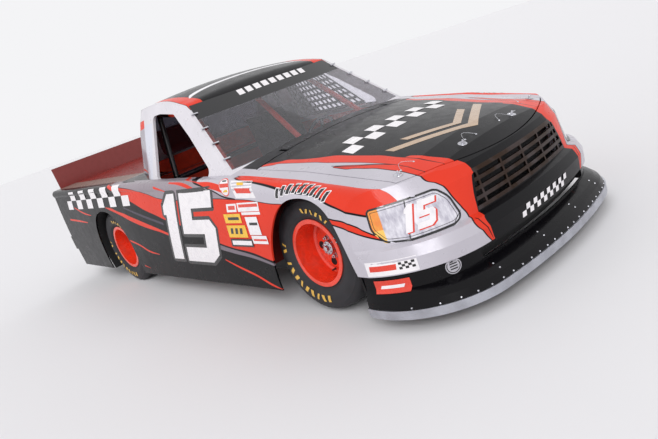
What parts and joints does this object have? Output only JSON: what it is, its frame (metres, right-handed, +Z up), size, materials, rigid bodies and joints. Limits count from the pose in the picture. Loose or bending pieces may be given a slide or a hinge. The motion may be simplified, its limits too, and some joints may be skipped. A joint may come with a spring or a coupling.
{
  "type": "race truck",
  "caption": "Low race pickup truck with a steel tube frame, roll cage, smooth sheet body, air dam, rear spoiler and wide slick tyres.",
  "frame": {"origin": "on the ground, under the middle of the truck's length and width", "axes": "+X forwards, +Y to the truck's left, +Z up"},
  "size_m": [5.208, 2.0352, 1.5243],
  "materials": {
    "body_paint": "gloss race paint in red, silver and black",
    "black_paint": "gloss black",
    "red_paint": "gloss red",
    "dark_steel": "satin black chassis paint",
    "bare_aluminium": "brushed",
    "cast": "rough casting",
    "steel": "satin",
    "lamp": "clear lens print",
    "glazing": "clear sheet",
    "tyre": "slick racing tyre",
    "seat_trim": "padded black"
  },
  "bodies": {
    "body": {"nose_fascia": "body_paint", "headlamp_left": "lamp", "headlamp_right": "lamp", "grille": "black_paint", "air_dam": "black_paint", "splitter_lip": "bare_aluminium", "cowl": "black_paint", "deck": "red_paint", "tailgate": "black_paint", "rear_bumper": "black_paint", "spoiler": "red_paint", "cab_shell": "body_paint", "windshield": "glazing", "rear_window": "glazing", "rear_axle": "dark_steel", "frame": "dark_steel", "control_arms": "dark_steel", "trailing_arms": "dark_steel", "engine_block": "cast", "driveline": "steel", "exhaust": "steel", "floor_pan": "red_paint", "firewall": "red_paint", "rear_bulkhead": "red_paint", "dash": "black_paint", "seat": "seat_trim", "steering_wheel": "black_paint", "roll_cage": "red_paint", "fuel_cell": "black_paint", "fender_left": "body_paint", "fender_right": "body_paint", "door_left": "body_paint", "door_right": "body_paint", "bed_side_left": "body_paint", "bed_side_right": "body_paint"},
    "hood": {"hood": "body_paint"},
    "steer_left": {"knuckle_left": "dark_steel"},
    "steer_right": {"knuckle_right": "dark_steel"},
    "roll_fl": {"tyre_fl": "tyre", "wheel_fl": "red_paint"},
    "roll_fr": {"tyre_fr": "tyre", "wheel_fr": "red_paint"},
    "roll_rl": {"tyre_rl": "tyre", "wheel_rl": "red_paint"},
    "roll_rr": {"tyre_rr": "tyre", "wheel_rr": "red_paint"}
  },
  "joints": [
    {"name": "hood_hinge", "type": "hinge", "parent": "body", "child": "hood", "pos_m": [1.043, 0, 0.90318], "axis": [0, -1, 0], "range_deg": [0, 55]},
    {"name": "steering_left", "type": "hinge", "parent": "body", "child": "steer_left", "pos_m": [1.54, 0.596, 0.35], "axis": [0, 0, 1], "range_deg": [-18, 18]},
    {"name": "steering_right", "type": "hinge", "parent": "body", "child": "steer_right", "pos_m": [1.54, -0.596, 0.35], "axis": [0, 0, 1], "range_deg": [-18, 18]},
    {"name": "wheel_spin_fl", "type": "hinge", "parent": "steer_left", "child": "roll_fl", "pos_m": [1.54, 0.77, 0.36391], "axis": [0, 0.9962, 0.0872], "continuous": true},
    {"name": "wheel_spin_fr", "type": "hinge", "parent": "steer_right", "child": "roll_fr", "pos_m": [1.54, -0.77, 0.36391], "axis": [0, 0.9962, -0.0872], "continuous": true},
    {"name": "wheel_spin_rl", "type": "hinge", "parent": "body", "child": "roll_rl", "pos_m": [-1.305, 0.77, 0.3555], "axis": [0, 1, 0], "continuous": true},
    {"name": "wheel_spin_rr", "type": "hinge", "parent": "body", "child": "roll_rr", "pos_m": [-1.305, -0.77, 0.3555], "axis": [0, 1, 0], "continuous": true}
  ],
  "couplings": [
    {"joint": "steering_right", "follows": "steering_left", "ratio": 1}
  ]
}
